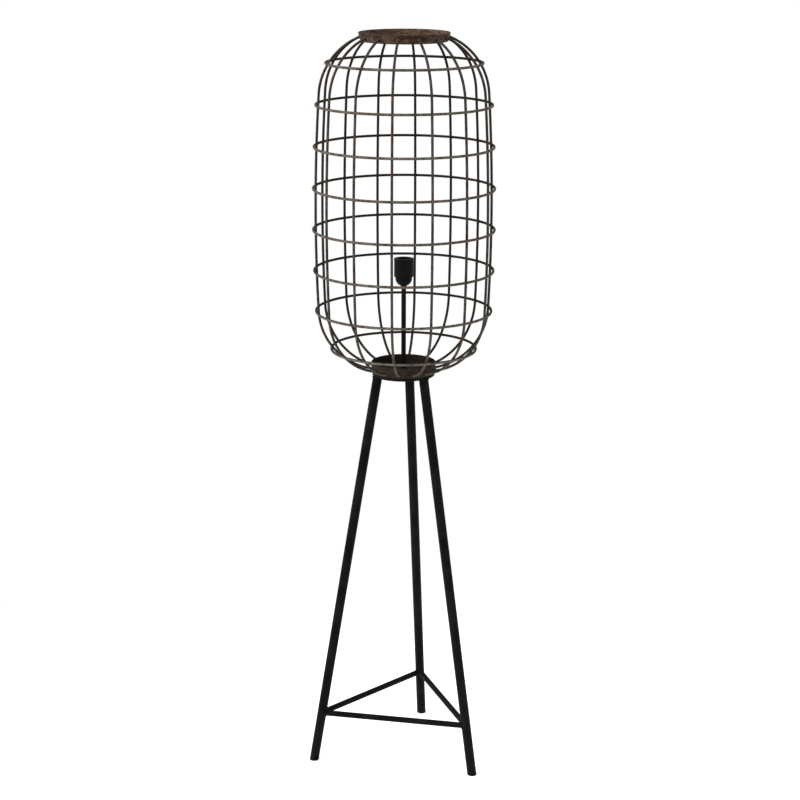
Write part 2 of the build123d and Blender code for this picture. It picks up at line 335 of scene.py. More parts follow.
def carve(obj, tool, how="DIFFERENCE"):
    # cuts the tool from the piece, or joins it to the piece, and deletes the tool
    change = obj.modifiers.new("carve", "BOOLEAN")
    change.operation = how
    change.solver = "EXACT"
    change.object = tool
    depsgraph = bpy.context.evaluated_depsgraph_get()
    done = bpy.data.meshes.new_from_object(obj.evaluated_get(depsgraph))
    obj.modifiers.clear()
    old = obj.data
    obj.data = done
    bpy.data.meshes.remove(old)
    bpy.data.objects.remove(tool)


def finishPiece(obj, material, nodes=(), body="lamp", crease=40.0):
    mesh = obj.data
    mesh.materials.clear()
    mesh.materials.append(material)
    mesh.shade_smooth()
    mesh.set_sharp_from_angle(angle=radians(crease))
    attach(obj, body)
    if nodes:
        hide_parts(*nodes)


patina = {  # what the cage's four steel finishes share
    "broadDetail": 3.0,
    "mottle": (120.0, 5.0, 0.6),  # grains to the metre, detail, roughness
    "speck": (900.0, 3.0),
    "toneMarks": (0.38, 0.52, 0.64),  # where the three tones lie in the broad noise
    "mottleCover": ((0.34, 0.60), (0.22, 1.0)),  # a span of the noise, share of the patina left there
    "speckCover": ((0.30, 0.55), (0.70, 1.0)),
    "middle": 1.19,  # m, height of the cage's middle
    "flatten": 0.45,  # how much height counts in what faces outwards
    "facingSpan": (-0.25, 0.55),
    "paintedLightSpan": (0.90, 1.05),  # m, over which the painted light on the cage's lower bend fades out
    "depth": 0.0004,
    "metallic": 0.10,
    "specular": 0.10,
}

wireFinish = {
    "dark": (0.0075, 0.0056, 0.0046),  # brown under the brushed patina
    "tones": ((0.047, 0.040, 0.026), (0.083, 0.073, 0.059), (0.066, 0.036, 0.022)),  # olive, ash, rust
    "patch": 16.0,  # patches to the metre
    "streak": 1.0,
    "outside": 1.0,  # how much of the patina lies on what faces outwards
    "inside": 0.16,
    "rough": (0.58, 0.76),
    "paintedLightTone": (0.140, 0.122, 0.094),  # painted light: a paler tone round the cage's lower bend, which faces down into shade
    "paintedLightShare": 0.55,
}

# painted light: the ribs' finish with paler tones, standing for the light the rings' upper faces catch
ringPaintedLightFinish = {
    **wireFinish,
    "tones": ((0.104, 0.091, 0.064), (0.150, 0.132, 0.110), (0.118, 0.080, 0.062)),
    "inside": 0.07,
    "paintedLightTone": (0.220, 0.200, 0.172),
}

collarFinish = {
    "dark": (0.016, 0.0080, 0.0052),
    "tones": ((0.044, 0.021, 0.014), (0.100, 0.064, 0.036), (0.118, 0.078, 0.066)),
    "patch": 30.0,
    "streak": 3.0,
    "outside": 0.66,
    "inside": 0.95,
    "rough": (0.55, 0.72),
}

cupFinish = {
    "dark": (0.0090, 0.0056, 0.0042),
    "tones": ((0.046, 0.036, 0.015), (0.039, 0.027, 0.016), (0.037, 0.018, 0.015)),
    "patch": 34.0,
    "streak": 2.0,
    "outside": 0.92,
    "inside": 0.22,
    "rough": (0.55, 0.72),
}

standFinish = {
    "coat": (0.0022, 0.0023, 0.0024),
    "worn": (0.0082, 0.0083, 0.0084),
    "cloud": (22.0, 3.0),  # worn patches to the metre, detail
    "cloudSpan": (0.35, 0.70),
    "scuff": (0.020, 0.020, 0.019),
    "scuffTop": 0.06,  # m above the floor
    "scuffMarks": (260.0, 6.0, 0.7),
    "scuffSpan": (0.52, 0.68),
    "peel": 900.0,  # orange peel, grains to the metre
    "depth": 0.00012,
    "rough": (0.46, 0.60),
    "specular": 0.048,
}

stemFinish = {**standFinish, "scuffTop": 0.0, "peel": 1400.0, "depth": 0.00005, "rough": (0.40, 0.54)}

capFinish = {**standFinish, "scuffTop": 0.02, "peel": 1200.0, "depth": 0.00010, "rough": (0.55, 0.70)}

holderFinish = {
    **standFinish,
    "coat": (0.0019, 0.0019, 0.0020),
    "worn": (0.0046, 0.0046, 0.0047),
    "scuffTop": 0.0,
    "peel": 700.0,
    "depth": 0.00006,
    "rough": (0.38, 0.52),
    "specular": 0.066,
}

creamFinish = {
    "tones": ((0.60, 0.56, 0.48), (0.70, 0.66, 0.58)),
    "cloud": (90.0, 4.0),
    "fine": (1500.0, 2.0),
    "depth": 0.00006,
    "rough": (0.28, 0.42),
}

brassFinish = {
    "tones": ((0.62, 0.44, 0.19), (0.40, 0.26, 0.12)),
    "cloud": (300.0, 4.0),
    "lines": (2600.0, 3.0),
    "stretch": (0.12, 1.0, 1.0),  # rolling marks run along the strips
    "depth": 0.00003,
    "rough": (0.22, 0.40),
}

noiseSpan = (0.3, 0.7)  # where most of a noise lies


def objectSpot(tree):
    return addNode(tree, "TexCoord")["Object"]


def heightOf(tree, spot):
    return addNode(tree, "SeparateXYZ", {0: spot})["Z"]


def stretched(tree, spot, factors):
    return addNode(tree, "VectorMath", {0: spot, 1: factors}, operation="MULTIPLY")[0]


def grain(tree, spot, scale, detail, rough=0.55):
    sockets = {"Vector": spot, "Scale": scale, "Detail": detail, "Roughness": rough}
    return addNode(tree, "TexNoise", sockets)["Fac"]


def spread(tree, value, fromSpan, toSpan=(0.0, 1.0)):
    names = ("Value", "From Min", "From Max", "To Min", "To Max")
    return addNode(tree, "MapRange", dict(zip(names, (value, *fromSpan, *toSpan))))["Result"]


def ramp(tree, value, positions, colours):
    node = tree.nodes.new("ShaderNodeValToRGB")
    marks = node.color_ramp.elements
    while len(marks) < len(colours):
        marks.new(0.5)
    for mark, position, colour in zip(marks, positions, colours):
        mark.position = position
        mark.color = (*colour, 1.0)
    tree.links.new(value, node.inputs["Fac"])
    return node.outputs["Color"]


def blendColour(tree, share, one, two):
    one, two = ((*colour, 1.0) if isinstance(colour, tuple) else colour for colour in (one, two))
    return addNode(tree, "Mix", {"Factor": share, "A": one, "B": two}, data_type="RGBA")["Result"]


def times(tree, one, two):
    return addNode(tree, "Math", {0: one, 1: two}, operation="MULTIPLY")[0]


def surface(tree, colour, roughness, height, depth, metallic=0.0, specular=0.5):
    normal = addNode(tree, "Bump", {"Height": height, "Distance": depth})["Normal"]
    sockets = {"Base Color": colour, "Roughness": roughness, "Normal": normal, "Metallic": metallic}
    shade = addNode(tree, "BsdfPrincipled", {**sockets, "Specular IOR Level": specular})[0]
    addNode(tree, "OutputMaterial", {"Surface": shade})


def outwardShare(tree):
    # 1 on what faces away from the lamp's middle and 0 on what faces it; each finish sets how much of its
    # pale tones shows on each side
    spot = addNode(tree, "TexCoord")
    middle = (0.0, 0.0, patina["middle"])
    away = addNode(tree, "VectorMath", {0: spot["Object"], 1: middle}, operation="SUBTRACT")[0]
    level = stretched(tree, away, (1.0, 1.0, patina["flatten"]))
    unit = addNode(tree, "VectorMath", {0: level}, operation="NORMALIZE")[0]
    facing = addNode(tree, "VectorMath", {0: unit, 1: spot["Normal"]}, operation="DOT_PRODUCT")
    return spread(tree, facing["Value"], patina["facingSpan"])


def patinaSteel(name, look):
    # antique steel: dark brown under olive and ash grey tones, with rust showing through; how much of the
    # tones shows depends on which way a face looks, plus painted light on the lower bend where the finish
    # gives a tone for it
    mat, tree = newMaterial(name)
    spot = objectSpot(tree)
    drawn = stretched(tree, spot, (1.0, 1.0, look["streak"]))
    broad = grain(tree, drawn, look["patch"], patina["broadDetail"])
    mottle = grain(tree, drawn, *patina["mottle"])
    speck = grain(tree, spot, *patina["speck"])
    brushed = ramp(tree, broad, patina["toneMarks"], look["tones"])
    # painted light: the lower bend, facing down away from the lamps, gets a paler tone
    if "paintedLightTone" in look:
        low = spread(tree, heightOf(tree, spot), patina["paintedLightSpan"], (look["paintedLightShare"], 0.0))
        brushed = blendColour(tree, low, brushed, look["paintedLightTone"])
    cover = spread(tree, mottle, *patina["mottleCover"])
    cover = times(tree, cover, spread(tree, speck, *patina["speckCover"]))
    outward = spread(tree, outwardShare(tree), (0.0, 1.0), (look["inside"], look["outside"]))
    colour = blendColour(tree, times(tree, cover, outward), look["dark"], brushed)
    roughness = spread(tree, mottle, noiseSpan, look["rough"])
    surface(tree, colour, roughness, mottle, patina["depth"], patina["metallic"], patina["specular"])
    return mat


def powderBlack(name, look):
    # matte black coat with a fine orange peel, thin in places, and scuffed near the floor
    mat, tree = newMaterial(name)
    spot = objectSpot(tree)
    cloud = grain(tree, spot, *look["cloud"])
    fine = grain(tree, spot, look["peel"], detail=2.0)
    colour = blendColour(tree, spread(tree, cloud, look["cloudSpan"]), look["coat"], look["worn"])
    if look["scuffTop"]:
        low = spread(tree, heightOf(tree, spot), (0.0, look["scuffTop"]), (1.0, 0.0))
        marks = grain(tree, spot, *look["scuffMarks"])
        scuffed = times(tree, low, spread(tree, marks, look["scuffSpan"]))
        colour = blendColour(tree, scuffed, colour, look["scuff"])
    roughness = spread(tree, cloud, noiseSpan, look["rough"])
    surface(tree, colour, roughness, fine, look["depth"], specular=look["specular"])
    return mat


def creamCeramic(look):
    mat, tree = newMaterial("creamCeramic")
    spot = objectSpot(tree)
    cloud = grain(tree, spot, *look["cloud"])
    fine = grain(tree, spot, *look["fine"])
    roughness = spread(tree, fine, noiseSpan, look["rough"])
    surface(tree, blendColour(tree, cloud, *look["tones"]), roughness, fine, look["depth"])
    return mat


def contactBrass(look):
    mat, tree = newMaterial("contactBrass")
    spot = objectSpot(tree)
    lines = grain(tree, stretched(tree, spot, look["stretch"]), *look["lines"])
    cloud = grain(tree, spot, *look["cloud"])
    roughness = spread(tree, lines, noiseSpan, look["rough"])
    surface(tree, blendColour(tree, cloud, *look["tones"]), roughness, lines, look["depth"], metallic=1.0)
    return mat


wireSteel = patinaSteel("wireSteel", wireFinish)
ringPaintedLightSteel = patinaSteel("ringPaintedLightSteel", ringPaintedLightFinish)
collarSteel = patinaSteel("collarSteel", collarFinish)
cupSteel = patinaSteel("cupSteel", cupFinish)
standBlack = powderBlack("standBlack", standFinish)
stemBlack = powderBlack("stemBlack", stemFinish)
capBlack = powderBlack("capBlack", capFinish)
holderBlack = powderBlack("holderBlack", holderFinish)
coreCream = creamCeramic(creamFinish)
brass = contactBrass(brassFinish)
print("finishes mixed")

cage = {  # lengths in mm and angles in degrees, as in all the pieces below
    "ribs": 14,
    "turn": 94.8,  # round to the first rib
    "wire": 2.75,  # radius
    "wireSides": 16,
    "bellyRadius": 183.6,  # of a rib's axis at its widest
    "bellyHeight": 1192.54,
    "bulge": 4000.0,  # radius of a rib's side
    "sideSteps": 16,
    "up": 257.0,  # from the widest point to the shoulder
    "down": 196.0,
    "shoulder": 133.0,
    "foot": 133.5,
    "bendSteps": 40,
    "rings": 8,
    "ringSides": 240,
    "bite": 0.4,  # that crossing wires are pressed into each other
    "settleSteps": 12,
}

collar = {
    "bottomRadius": 89.5,
    "topRadius": 94.5,
    "wall": 2.0,
    "edge": 0.95,
    "seatRadius": 91.86,  # where a rib's axis meets it
    "ribStop": 0.4,  # that the rib's axis stops short of it
}

cup = {
    "radius": 68.0,
    "wall": 2.0,
    "edge": 0.95,
    "bottomRound": 3.2,
    "insideRound": 2.2,
    "stemHole": 5.1,
    "holeEdge": 0.3,
    "ribStop": 0.6,
}

cordWay = {"side": 210.0, "reach": 57.0, "hole": 4.5}  # through the cup and the plate, over the left leg


def ribSamples():
    # (r, z, outward r, outward z) down a rib's axis, from the collar to the cup
    bulge, shoulder, foot = cage["bulge"], cage["shoulder"], cage["foot"]
    leanUp = asin(cage["up"] / bulge)
    leanDown = asin(cage["down"] / bulge)
    bulgeX = cage["bellyRadius"] - bulge
    shoulderX = bulgeX + (bulge - shoulder) * cos(leanUp)
    shoulderZ = cage["bellyHeight"] + (bulge - shoulder) * sin(leanUp)
    footX = bulgeX + (bulge - foot) * cos(leanDown)
    footZ = cage["bellyHeight"] - (bulge - foot) * sin(leanDown)
    top = acos((collar["seatRadius"] - collar["ribStop"] - shoulderX) / shoulder)
    end = acos((cup["radius"] - cup["ribStop"] - footX) / foot)
    arcs = (
        (shoulderX, shoulderZ, shoulder, top, leanUp, cage["bendSteps"]),
        (bulgeX, cage["bellyHeight"], bulge, leanUp, -leanDown, cage["sideSteps"]),
        (footX, footZ, foot, -leanDown, -end, cage["bendSteps"]),
    )
    samples = []
    for x, z, radius, first, last, count in arcs:
        for i in range(1 if samples else 0, count + 1):
            angle = first + (last - first) * i / count
            outR, outZ = cos(angle), sin(angle)
            samples.append((x + radius * outR, z + radius * outZ, outR, outZ))
    return samples


ribLine = ribSamples()
ribAngles = [cage["turn"] + 360.0 / cage["ribs"] * i for i in range(cage["ribs"])]


def ribAt(z):
    # radius and outward direction of a rib's axis at a height
    for one, two in zip(ribLine, ribLine[1:]):
        if one[1] >= z >= two[1]:
            share = (one[1] - z) / (one[1] - two[1])
            return [a + (b - a) * share for a, b in zip(one, two)]
    raise ValueError(z)


def ringSpots():
    # radius and height of each ring's wire, pressed against the ribs from outside, and of the ribs there
    spots = []
    for number in range(1, cage["rings"] + 1):
        low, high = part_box(f"ring_{number}")
        ringZ = (low.z + high.z) / 2.0 / mm
        reach = 2.0 * cage["wire"] - cage["bite"]
        z = ringZ
        for _ in range(cage["settleSteps"]):  # towards the rib's point whose outward line meets the ring
            r, _, outR, outZ = ribAt(z)
            z = ringZ - reach * outZ
        spots.append((r + reach * outR, ringZ, r, z))
    return spots


rings = ringSpots()
wireSection = roundSection(cage["wire"], cage["wireSides"])


def makeRibs():
    for number, angle in enumerate(ribAngles, 1):
        line = [polar(r, angle, z) for r, z, _, _ in ribLine]
        rib = sweptObject(f"ribWire{number:02d}", line, wireSection, side=polar(1.0, angle + 90.0))
        finishPiece(rib, wireSteel, [f"rib_{number:02d}"])


def makeRings():
    for number, (radius, z, _, _) in enumerate(rings, 1):
        line = [polar(radius, 360.0 * i / cage["ringSides"], z) for i in range(cage["ringSides"])]
        ring = sweptObject(f"ringWire{number}", line, wireSection, closed=True)
        finishPiece(ring, ringPaintedLightSteel, [f"ring_{number}"])


weldBead = {
    "sides": 8,
    "seedStep": 7.3,  # moves each bead to a place of its own in the noise
    "lumpStep": 0.55,  # through the noise, from one point of a bead to the next
    "noiseRow": 1.7,
    "lump": 0.28,
    "rippleStep": 1.9,
    "ripple": 0.10,
}

cageWeld = {
    "crossing": (3.0, 3.0, 1.7),  # a lump's sizes along the rib, round the cage and outward
    "lump": 0.22,
    "lumpGrain": 1.6,
    "seedStep": 3.1,
    "endRadius": 3.15,  # of the bead round a rib's end
    "endSize": 0.95,
    "endReach": 1.0,  # from the end, along the rib
    "endPoints": 18,
}


def bead(bm, line, size, seed):
    # a lumpy weld bead round a joint
    def swell(i):
        place = (seed * weldBead["seedStep"], i * weldBead["lumpStep"], weldBead["noiseRow"])
        lump = noise.noise(Vector(place))
        return 1.0 + weldBead["lump"] * lump + weldBead["ripple"] * sin(i * weldBead["rippleStep"])

    swept(bm, line, roundSection(size, weldBead["sides"]), closed=True, swell=swell)


def blob(bm, spot, along, out, seed):
    # a lump of weld where a ring crosses a rib
    across = along.cross(out)
    tall, wide, deep = cageWeld["crossing"]
    fine = cageWeld["lumpGrain"]
    for vert in bmesh.ops.create_icosphere(bm, subdivisions=2, radius=1.0)["verts"]:
        x, y, z = vert.co
        place = Vector((x * fine + seed * cageWeld["seedStep"], y * fine, z * fine))
        lump = 1.0 + cageWeld["lump"] * noise.noise(place)
        vert.co = (spot + (along * x * tall + across * y * wide + out * z * deep) * lump) * mm


def makeCageWelds():
    bm = bmesh.new()
    seed = 0
    for angle in ribAngles:
        side = polar(1.0, angle + 90.0)
        for radius, z, ribR, ribZ in rings:
            seed += 1
            out = Vector((radius - ribR, 0.0, z - ribZ)).normalized()
            out = polar(out.x, angle, out.z)
            spot = (polar(radius, angle, z) + polar(ribR, angle, ribZ)) / 2.0
            blob(bm, spot, out.cross(side).normalized(), out, seed)
        for end, behind in ((0, 3), (-1, -4)):
            seed += 1
            r, z, _, _ = ribLine[end]
            backR, backZ, _, _ = ribLine[behind]
            line = Vector((backR - r, 0.0, backZ - z)).normalized()
            line = polar(line.x, angle, line.z)
            middle = polar(r, angle, z) + line * cageWeld["endReach"]
            loop = circle(middle, side, line.cross(side), cageWeld["endRadius"], cageWeld["endPoints"])
            bead(bm, loop, cageWeld["endSize"], seed)
    # the welds take the rings' finish, painted light included
    finishPiece(meshObject("cageWelds", bm), ringPaintedLightSteel)


def makeCollar():
    bottom, top = heightSpan("top_collar")
    lowRadius, topRadius = collar["bottomRadius"], collar["topRadius"]
    wall, edge = collar["wall"], collar["edge"]
    section = [
        (lowRadius, bottom, edge),
        (topRadius, top, edge),
        (topRadius - wall, top, edge),
        (lowRadius - wall, bottom, edge),
    ]
    band = turned("collarBand", roundOff(section, steps=5), sides=224)
    finishPiece(band, collarSteel, ["top_collar"])


def cordDrill(z, length):
    return drill(polar(cordWay["reach"], cordWay["side"], z), cordWay["hole"], length)


def makeCup():
    bottom, top = heightSpan("bottom_cup")
    radius, wall, edge = cup["radius"], cup["wall"], cup["edge"]
    hole, holeEdge = cup["stemHole"], cup["holeEdge"]
    section = [
        (hole, bottom, holeEdge),
        (radius, bottom, cup["bottomRound"]),
        (radius, top, edge),
        (radius - wall, top, edge),
        (radius - wall, bottom + wall, cup["insideRound"]),
        (hole, bottom + wall, holeEdge),
    ]
    bowl = turned("cageCup", roundOff(section, steps=5), sides=168)
    carve(bowl, cordDrill(bottom + wall / 2.0, length=12.0))
    finishPiece(bowl, cupSteel, ["bottom_cup"])


makeRibs()
makeRings()
makeCageWelds()
makeCollar()
makeCup()
print("cage welded")

legTube = {
    "angles": {"back": 90.0, "left": cordWay["side"], "right": 330.0},
    "radius": 10.0,
    "wall": 1.5,
    "topRadius": 57.0,  # from the lamp's axis, under the plate
    "footRadius": 203.5,
    "sides": 64,
}

plate = {"bottom": 857.5, "radius": 66.0, "thickness": 6.0, "edge": 0.9, "holeEdge": 0.3}

stretcher = {
    "between": {"left": ("back", "left"), "front": ("left", "right"), "right": ("right", "back")},
    "radius": 6.25,
    "height": 108.5,
    "sink": 0.3,  # of its end in the leg's surface
    "sides": 48,
}

standWeld = {
    "firstSeed": 100,
    "size": 1.35,
    "barWider": 0.25,  # than the bar's end
    "barForward": 0.45,  # from the bar's end, along the bar
    "legWider": 0.3,
    "legDrop": 0.5,  # under the plate
    "legPoints": 56,
}

footCap = {
    "radius": 9.95,
    "floor": 3.5,
    "bottomRound": 1.6,
    "bottomSteps": 5,
    "topRound": 0.35,
    "plugRadius": 8.4,
    "plugWall": 1.2,
    "plugBevel": (0.5, 0.6),  # inwards, down
    "plugTop": 35.5,  # along the leg, from 20 mm under the floor
    "outletHeight": 8.0,
    "hole": 3.7,
}

bush = {
    "flangeStart": 5.0,  # out from the left leg's axis
    "reach": 11.6,
    "flange": 5.0,
    "flangeEdge": 0.9,
    "sleeveStart": 6.4,
    "sleeve": 3.6,
    "sleeveEdge": 0.4,
    "sunk": 0.6,  # of the sleeve's end under the flange's face
    "bore": 2.8,
    "boreStart": 4.0,
    "mouth": ((0.0, -0.7), (0.25, -0.25), (0.9, 0.05), (0.9, 1.0)),  # wider than the bore, past the face
    "legRoom": 10.05,  # radius hollowed for the leg
    "roomSpan": (4.0, 60.0),  # along the leg, from 20 mm under the floor
}


def legAxis(angle, z):
    share = z / plate["bottom"]
    radius = legTube["footRadius"] + (legTube["topRadius"] - legTube["footRadius"]) * share
    return polar(radius, angle, z)


def legFrame(angle):
    along = (legAxis(angle, plate["bottom"]) - legAxis(angle, 0.0)).normalized()
    side = polar(1.0, angle + 90.0)
    return along, side, along.cross(side)


def levelRing(angle, radius, z, sides):
    # points of a leg's round surface where a level plane cuts it
    along, side, up = legFrame(angle)
    spots = circle(legAxis(angle, 0.0), side, up, radius, sides)
    return [spot + along * (z - spot.z) / along.z for spot in spots]


def squareRing(angle, radius, reach, sides):
    # points of a leg's round surface on a plane square to it, reach mm up from 20 mm under the floor
    along, side, up = legFrame(angle)
    return circle(legAxis(angle, -20.0) + along * reach, side, up, radius, sides)


def outletFrame():
    angle = cordWay["side"]
    return legAxis(angle, footCap["outletHeight"]), polar(1.0, angle + 90.0)


def outletDrill(reach):
    # centred reach mm out from the left leg's axis
    spot, out = outletFrame()
    return drill(spot + out * reach, footCap["hole"], length=16.0, along=out)


def makeLegs():
    outer, sides = legTube["radius"], legTube["sides"]
    inner = outer - legTube["wall"]
    low, high = footCap["floor"], plate["bottom"]
    spans = [(outer, low), (outer, high), (inner, high), (inner, low)]
    for name, angle in legTube["angles"].items():
        loops = [levelRing(angle, radius, z, sides) for radius, z in spans]
        leg = skinnedObject(f"legTube{name.capitalize()}", loops, wrap=True)
        if name == "left":
            carve(leg, outletDrill(reach=10.0))
        finishPiece(leg, standBlack, [f"leg_{name}"])


def makePlate():
    bottom, top = plate["bottom"], plate["bottom"] + plate["thickness"]
    radius, edge, hole, holeEdge = plate["radius"], plate["edge"], cup["stemHole"], plate["holeEdge"]
    section = [(hole, bottom, holeEdge), (radius, bottom, edge), (radius, top, edge), (hole, top, holeEdge)]
    disc = turned("headPlate", roundOff(section, steps=4), sides=168)
    carve(disc, cordDrill(bottom + plate["thickness"] / 2.0, length=16.0))
    finishPiece(disc, standBlack, ["head_plate"])


def barEnd(spot, direction, angle, other):
    # how far along a bar's line it leaves its leg's surface or the mitre with the leg's other bar
    along, _, _ = legFrame(angle)
    gap = spot - legAxis(angle, 0.0)
    flatLine = direction - along * direction.dot(along)
    flatGap = gap - along * gap.dot(along)
    a = flatLine.dot(flatLine)
    b = 2.0 * flatLine.dot(flatGap)
    c = flatGap.dot(flatGap) - (legTube["radius"] - stretcher["sink"]) ** 2
    surfaceReach = (-b + sqrt(max(b * b - 4.0 * a * c, 0.0))) / (2.0 * a)
    aside = polar(1.0, angle + 90.0)
    if aside.dot(other - legAxis(angle, stretcher["height"])) < 0.0:
        aside = -aside
    mitreReach = -spot.dot(aside) / direction.dot(aside)
    return max(surfaceReach, mitreReach)


def makeBars():
    welds = bmesh.new()
    seed = standWeld["firstSeed"]
    sides, radius = stretcher["sides"], stretcher["radius"]
    for name, between in stretcher["between"].items():
        ends = [legTube["angles"][leg] for leg in between]
        spots = [legAxis(angle, stretcher["height"]) for angle in ends]
        direction = (spots[1] - spots[0]).normalized()
        across = upward.cross(direction)
        nearLoop = []
        farLoop = []
        for t in fullTurn(sides):
            offset = across * cos(t) * radius + upward * (sin(t) * radius)
            near = barEnd(spots[0] + offset, direction, ends[0], spots[1])
            far = barEnd(spots[1] + offset, -direction, ends[1], spots[0])
            nearLoop.append(spots[0] + offset + direction * near)
            farLoop.append(spots[1] + offset - direction * far)
        middles = [sum(loop, Vector()) / sides for loop in (nearLoop, farLoop)]
        loops = [[middles[0]], nearLoop, farLoop, [middles[1]]]
        bar = skinnedObject(f"stretcherBar{name.capitalize()}", loops)
        finishPiece(bar, standBlack, [f"stretcher_{name}"])
        for loop, middle, line in zip((nearLoop, farLoop), middles, (direction, -direction)):
            seed += 1
            wider, forward = standWeld["barWider"], line * standWeld["barForward"]
            wide = [spot + (spot - middle).normalized() * wider + forward for spot in loop[::2]]
            bead(welds, wide, standWeld["size"], seed)
    for angle in legTube["angles"].values():
        seed += 1
        height = plate["bottom"] - standWeld["legDrop"]
        loop = levelRing(angle, legTube["radius"] + standWeld["legWider"], height, standWeld["legPoints"])
        bead(welds, loop, standWeld["size"], seed)
    finishPiece(meshObject("standWelds", welds), standBlack)


def capLoops(angle):
    radius, sides = footCap["radius"], legTube["sides"]
    curve, edge, floor = footCap["bottomRound"], footCap["topRound"], footCap["floor"]
    loops = [[legAxis(angle, 0.0)]]
    for step in range(footCap["bottomSteps"] + 1):
        turn = radians(90.0 * step / footCap["bottomSteps"])
        inset = curve * (1.0 - sin(turn))
        loops.append(levelRing(angle, radius - inset, curve * (1.0 - cos(turn)), sides))
    knee = edge * 0.3  # the middle point of the rounded edge
    for inset, drop in ((0.0, edge), (knee, knee), (edge, 0.0)):
        loops.append(levelRing(angle, radius - inset, floor - drop, sides))
    plug, top = footCap["plugRadius"], footCap["plugTop"]
    room = plug - footCap["plugWall"]
    bevelIn, bevelDown = footCap["plugBevel"]
    loops.append(levelRing(angle, plug, floor, sides))
    for ringRadius, drop in ((plug, bevelDown), (plug - bevelIn, 0.0), (room, 0.0)):
        loops.append(squareRing(angle, ringRadius, top - drop, sides))
    loops.append(levelRing(angle, room, floor, sides))
    loops.append([legAxis(angle, floor)])
    return loops


def makeFootCaps():
    caps = bmesh.new()
    for name, angle in legTube["angles"].items():
        if name != "left":
            skinned(caps, capLoops(angle))
    cordCap = skinnedObject("cordCap", capLoops(cordWay["side"]))
    carve(cordCap, outletDrill(reach=9.0))
    caps.from_mesh(cordCap.data)
    bpy.data.objects.remove(cordCap)
    finishPiece(meshObject("footCapSet", caps), capBlack, ["foot_caps"], crease=34.0)


def roundPlug(name, radius, span, edges, steps, place):
    # a solid plug between two heights, with the edge rounded at each
    (low, high), (lowEdge, highEdge) = span, edges
    outline = [(0.0, low, 0.0), (radius, low, lowEdge), (radius, high, highEdge), (0.0, high, 0.0)]
    return turned(name, roundOff(outline, steps), sides=64, place=place)


def makeBush():
    # a sleeve through the leg, with a flange hollowed to sit on the leg
    place = standOn(*outletFrame())
    reach, bore, start = bush["reach"], bush["bore"], bush["boreStart"]
    span, edges = (bush["flangeStart"], reach), (0.0, bush["flangeEdge"])
    body = roundPlug("cordBush", bush["flange"], span, edges, steps=5, place=place)
    loops = [squareRing(cordWay["side"], bush["legRoom"], along, sides=96) for along in bush["roomSpan"]]
    middles = [[sum(loop, Vector()) / len(loop)] for loop in loops]
    carve(body, skinnedObject("legRoom", [middles[0], *loops, middles[1]]))
    span, edges = (bush["sleeveStart"], reach - bush["sunk"]), (bush["sleeveEdge"], 0.0)
    carve(body, roundPlug("sleeve", bush["sleeve"], span, edges, steps=3, place=place), "UNION")
    mouth = [(bore + wider, reach + past) for wider, past in bush["mouth"]]
    outline = [(0.0, start), (bore, start), *mouth, (0.0, mouth[-1][1])]
    carve(body, turned("bore", outline, sides=64, place=place))
    finishPiece(body, capBlack, ["cord_bush"], crease=34.0)


makeLegs()
makePlate()
makeBars()
makeFootCaps()
makeBush()
print("stand welded")

stem = {
    "radius": 5.0,
    "bore": 3.5,
    "endBevel": 0.5,
    "endRise": 0.4,
    "pitch": 1.0,
    "pitchSteps": 6,
    "threadDepth": 0.55,
    "threadTo": 873.0,  # up from the lower end
    "threadFrom": 1038.0,  # up to the holder
    "threadFade": 1.5,
    "windowBottom": 876.0,
    "windowHeight": 14.0,
    "windowWidth": 7.0,
    "windowCorner": 2.4,
}

nut = {
    "across": 15.0,
    "thickness": 5.0,
    "inset": 0.05,  # of its sides from the full width
    "bevelFrom": 7.1,  # radius of the flat ring on each face
    "bevelLate": 0.12,  # how far outside that ring the bevel starts
    "bevelLean": 30.0,
    "bore": 5.05,
    "boreBevel": 0.5,
    "sides": 72,
}

washer = {"radius": 11.0, "thickness": 1.5, "bore": 5.1, "boreEdge": 0.2, "lowEdge": 0.25, "topEdge": 0.55}


def stemThread(r, z, angle):
    if r < stem["radius"] - 0.01:
        return r
    low = min(max((stem["threadTo"] - z) / stem["threadFade"], 0.0), 1.0)
    high = min(max((z - stem["threadFrom"]) / stem["threadFade"], 0.0), 1.0)
    turn = (z / stem["pitch"] - angle / (2.0 * pi)) % 1.0
    valley = 1.0 - abs(2.0 * turn - 1.0)
    return r - stem["threadDepth"] * valley * max(low, high)


def makeStem():
    bottom, top = heightSpan("stem")
    radius, bore, rise = stem["radius"], stem["bore"], stem["endRise"]
    step = stem["pitch"] / stem["pitchSteps"]
    heights = [bottom + rise]  # rows of points, close together along the two threads only
    while heights[-1] < stem["threadTo"] + 1.0:
        heights.append(heights[-1] + step)
    heights.append(stem["threadFrom"] - 0.5)
    while heights[-1] < top - rise:
        heights.append(heights[-1] + step)
    end = radius - stem["endBevel"]
    outline = [(bore, bottom), (end, bottom), *((radius, z) for z in heights), (end, top), (bore, top)]
    tube = turned("stemTube", outline, sides=48, thread=stemThread)
    halfWide, halfHigh = stem["windowWidth"] / 2.0, stem["windowHeight"] / 2.0
    section = boxSection(halfWide, halfHigh, stem["windowCorner"], steps=5)
    middle = upward * (stem["windowBottom"] + halfHigh)
    line = [middle, middle + polar(12.0, cordWay["side"])]
    carve(tube, sweptObject("windowCutter", line, section, side=polar(1.0, cordWay["side"] + 90.0)))
    finishPiece(tube, stemBlack, ["stem"], crease=50.0)


